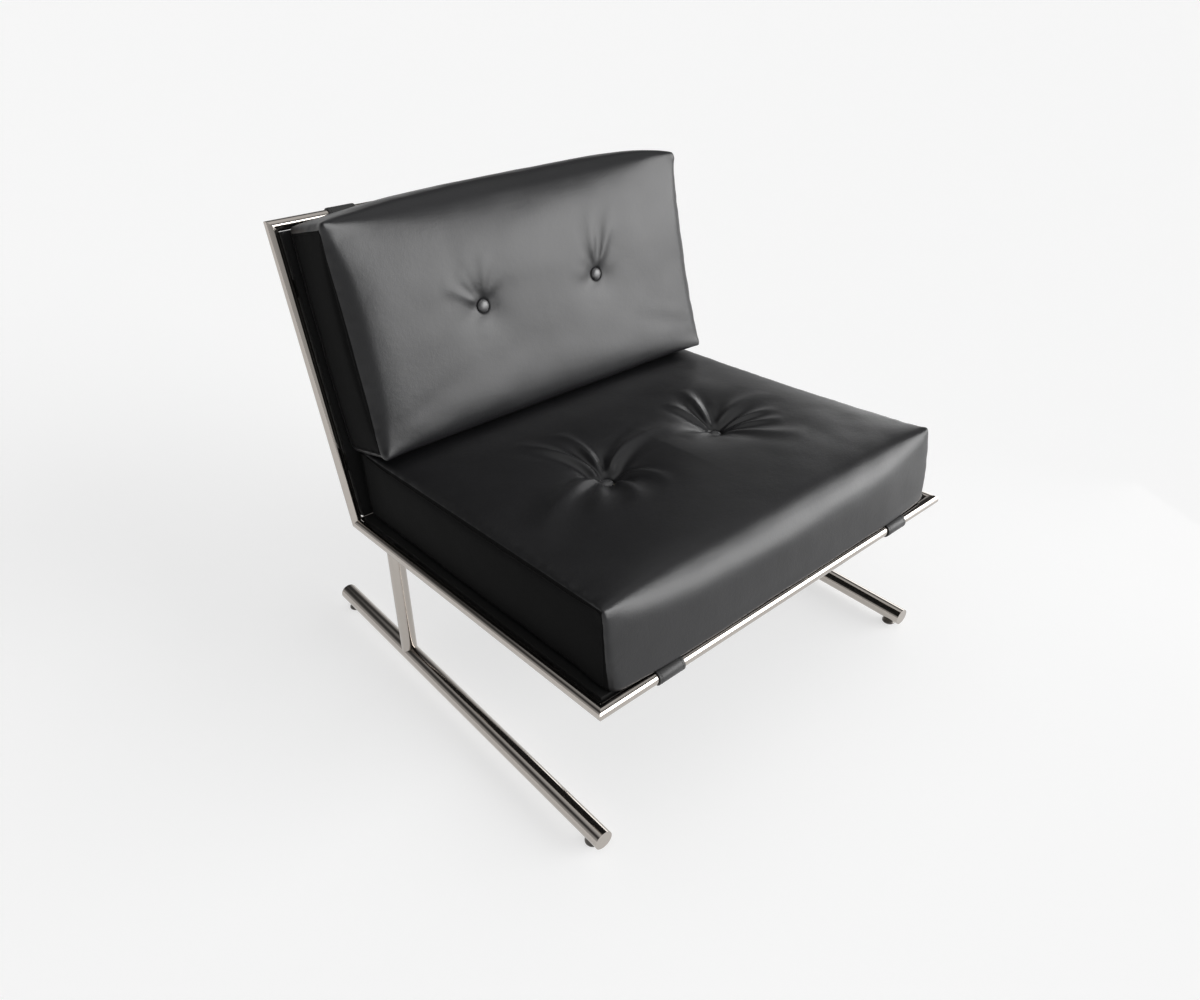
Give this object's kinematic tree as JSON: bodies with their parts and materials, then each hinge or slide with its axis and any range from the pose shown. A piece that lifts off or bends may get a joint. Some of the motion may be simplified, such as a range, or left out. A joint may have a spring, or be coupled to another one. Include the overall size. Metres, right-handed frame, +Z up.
{
  "type": "cantilever lounge chair",
  "caption": "Cantilever lounge chair with tufted black box cushions on upholstered decks in a mitred chrome tube frame, carried by posts on floor rails.",
  "frame": {"origin": "on the floor, under the middle of the chair's bounding box", "axes": "+Z up, +Y towards the back of the chair, +X to the right as seen from in front of it"},
  "size_m": [0.789, 0.8102, 0.783],
  "materials": {
    "chrome_tube": "polished",
    "dark_steel": "satin",
    "cushion_leather": "satin",
    "deck_leatherette": "satin",
    "strap_leather": "satin",
    "plywood": "matte",
    "dust_cloth": "matte",
    "foam": "matte",
    "twine": "matte"
  },
  "bodies": {
    "frame": {"foot_rail_left": "chrome_tube", "foot_rail_right": "chrome_tube", "foot_end_discs": "chrome_tube", "post_left": "chrome_tube", "post_right": "chrome_tube", "seat_rail_left": "chrome_tube", "seat_rail_right": "chrome_tube", "back_rail_left": "chrome_tube", "back_rail_right": "chrome_tube", "front_rail": "chrome_tube", "top_rail": "chrome_tube", "rear_cross_rail": "chrome_tube", "deck_tabs": "chrome_tube", "glide_inserts": "dark_steel", "seat_board": "plywood", "back_board": "plywood", "seat_deck_wrap": "deck_leatherette", "back_deck_wrap": "deck_leatherette", "seat_dust_cover": "dust_cloth", "back_rear_cover": "dust_cloth", "deck_screws": "dark_steel", "tee_nuts": "dark_steel", "front_strap_left": "strap_leather", "front_strap_right": "strap_leather", "top_strap_left": "strap_leather", "top_strap_right": "strap_leather", "strap_screws": "dark_steel"},
    "seat_cushion": {"seat_cushion_cover": "cushion_leather", "seat_cushion_foam": "foam", "seat_buttons": "cushion_leather", "seat_twines": "twine", "seat_anchor_discs": "dark_steel"},
    "back_cushion": {"back_cushion_cover": "cushion_leather", "back_cushion_foam": "foam", "back_buttons": "cushion_leather", "back_twines": "twine", "back_anchor_discs": "dark_steel"},
    "front_left_glide": {"glide_front_left": "dark_steel"},
    "front_right_glide": {"glide_front_right": "dark_steel"},
    "rear_left_glide": {"glide_rear_left": "dark_steel"},
    "rear_right_glide": {"glide_rear_right": "dark_steel"}
  },
  "joints": [
    {"name": "seat_cushion_slide", "type": "slide", "parent": "frame", "child": "seat_cushion", "axis": [0, -0.9981, 0.061], "range_m": [0, 0.2]},
    {"name": "back_cushion_lift", "type": "slide", "parent": "frame", "child": "back_cushion", "axis": [0, 0.2588, 0.9659], "range_m": [0, 0.2]},
    {"name": "front_left_glide_turn", "type": "hinge", "parent": "frame", "child": "front_left_glide", "pos_m": [-0.379, -0.36902, 0], "axis": [0, 0, 1], "continuous": true},
    {"name": "front_right_glide_turn", "type": "hinge", "parent": "frame", "child": "front_right_glide", "pos_m": [0.379, -0.36902, 0], "axis": [0, 0, 1], "continuous": true},
    {"name": "rear_left_glide_turn", "type": "hinge", "parent": "frame", "child": "rear_left_glide", "pos_m": [-0.379, 0.34898, 0], "axis": [0, 0, 1], "continuous": true},
    {"name": "rear_right_glide_turn", "type": "hinge", "parent": "frame", "child": "rear_right_glide", "pos_m": [0.379, 0.34898, 0], "axis": [0, 0, 1], "continuous": true}
  ]
}
